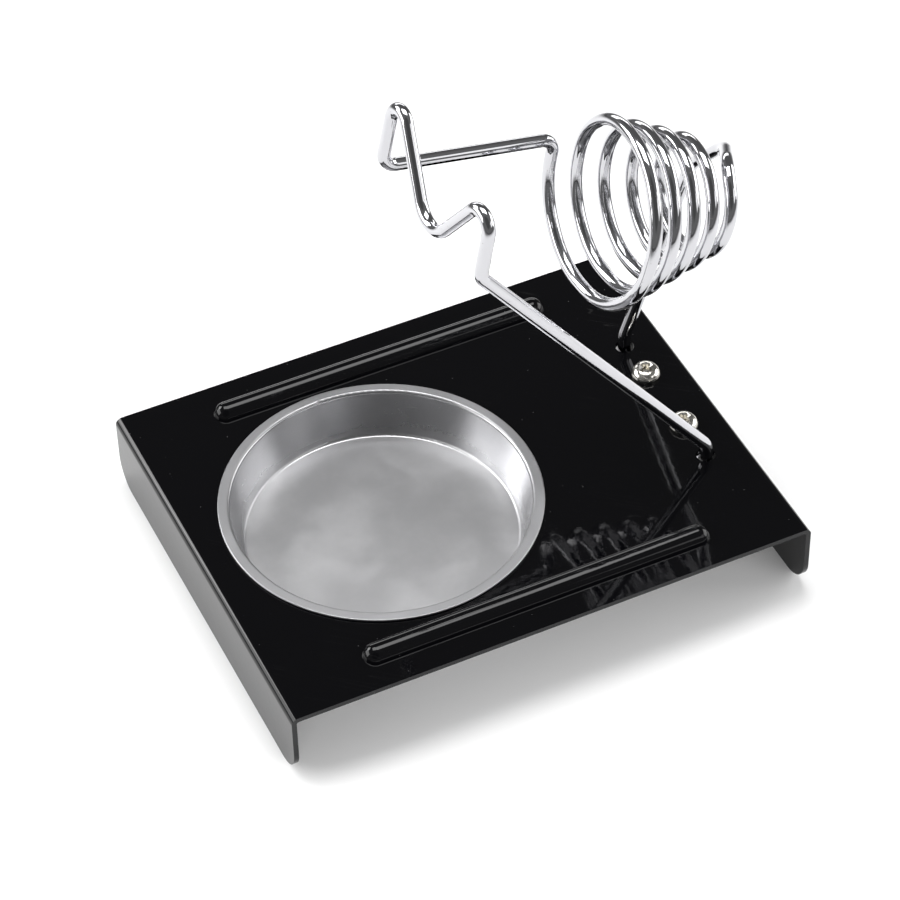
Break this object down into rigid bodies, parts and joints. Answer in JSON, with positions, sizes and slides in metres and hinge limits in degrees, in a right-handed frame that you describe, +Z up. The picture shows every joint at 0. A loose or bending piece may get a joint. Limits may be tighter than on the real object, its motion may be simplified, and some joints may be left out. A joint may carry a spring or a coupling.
{
  "type": "soldering iron stand",
  "caption": "Soldering iron stand: folded black steel base, lift-out round steel dish and a chromed wire holder with a tapered coil and V rest.",
  "frame": {"origin": "centre of the whole stand's outline, on the surface that the base's flanges stand on", "axes": "+X along the base's length, towards the end with the screws and the coil's narrow end; +Y to the back, the side of the coil's own leg; +Z up"},
  "size_m": [0.1592, 0.12, 0.1352],
  "materials": {
    "base_paint": "gloss",
    "dish_steel": "satin",
    "wire_chrome": "polished",
    "fastener_plating": "bright plated"
  },
  "bodies": {
    "stand": {"base_plate": "base_paint", "wire_holder": "wire_chrome", "screw_rear": "fastener_plating", "flat_washer_rear": "fastener_plating", "spring_washer_rear": "fastener_plating", "hex_nut_rear": "fastener_plating", "screw_front": "fastener_plating", "flat_washer_front": "fastener_plating", "spring_washer_front": "fastener_plating", "hex_nut_front": "fastener_plating"},
    "dish": {"solder_dish": "dish_steel"}
  },
  "joints": [
    {"name": "dish_lift", "type": "slide", "parent": "stand", "child": "dish", "axis": [0, 0, 1], "range_m": [0, 0.04]}
  ]
}
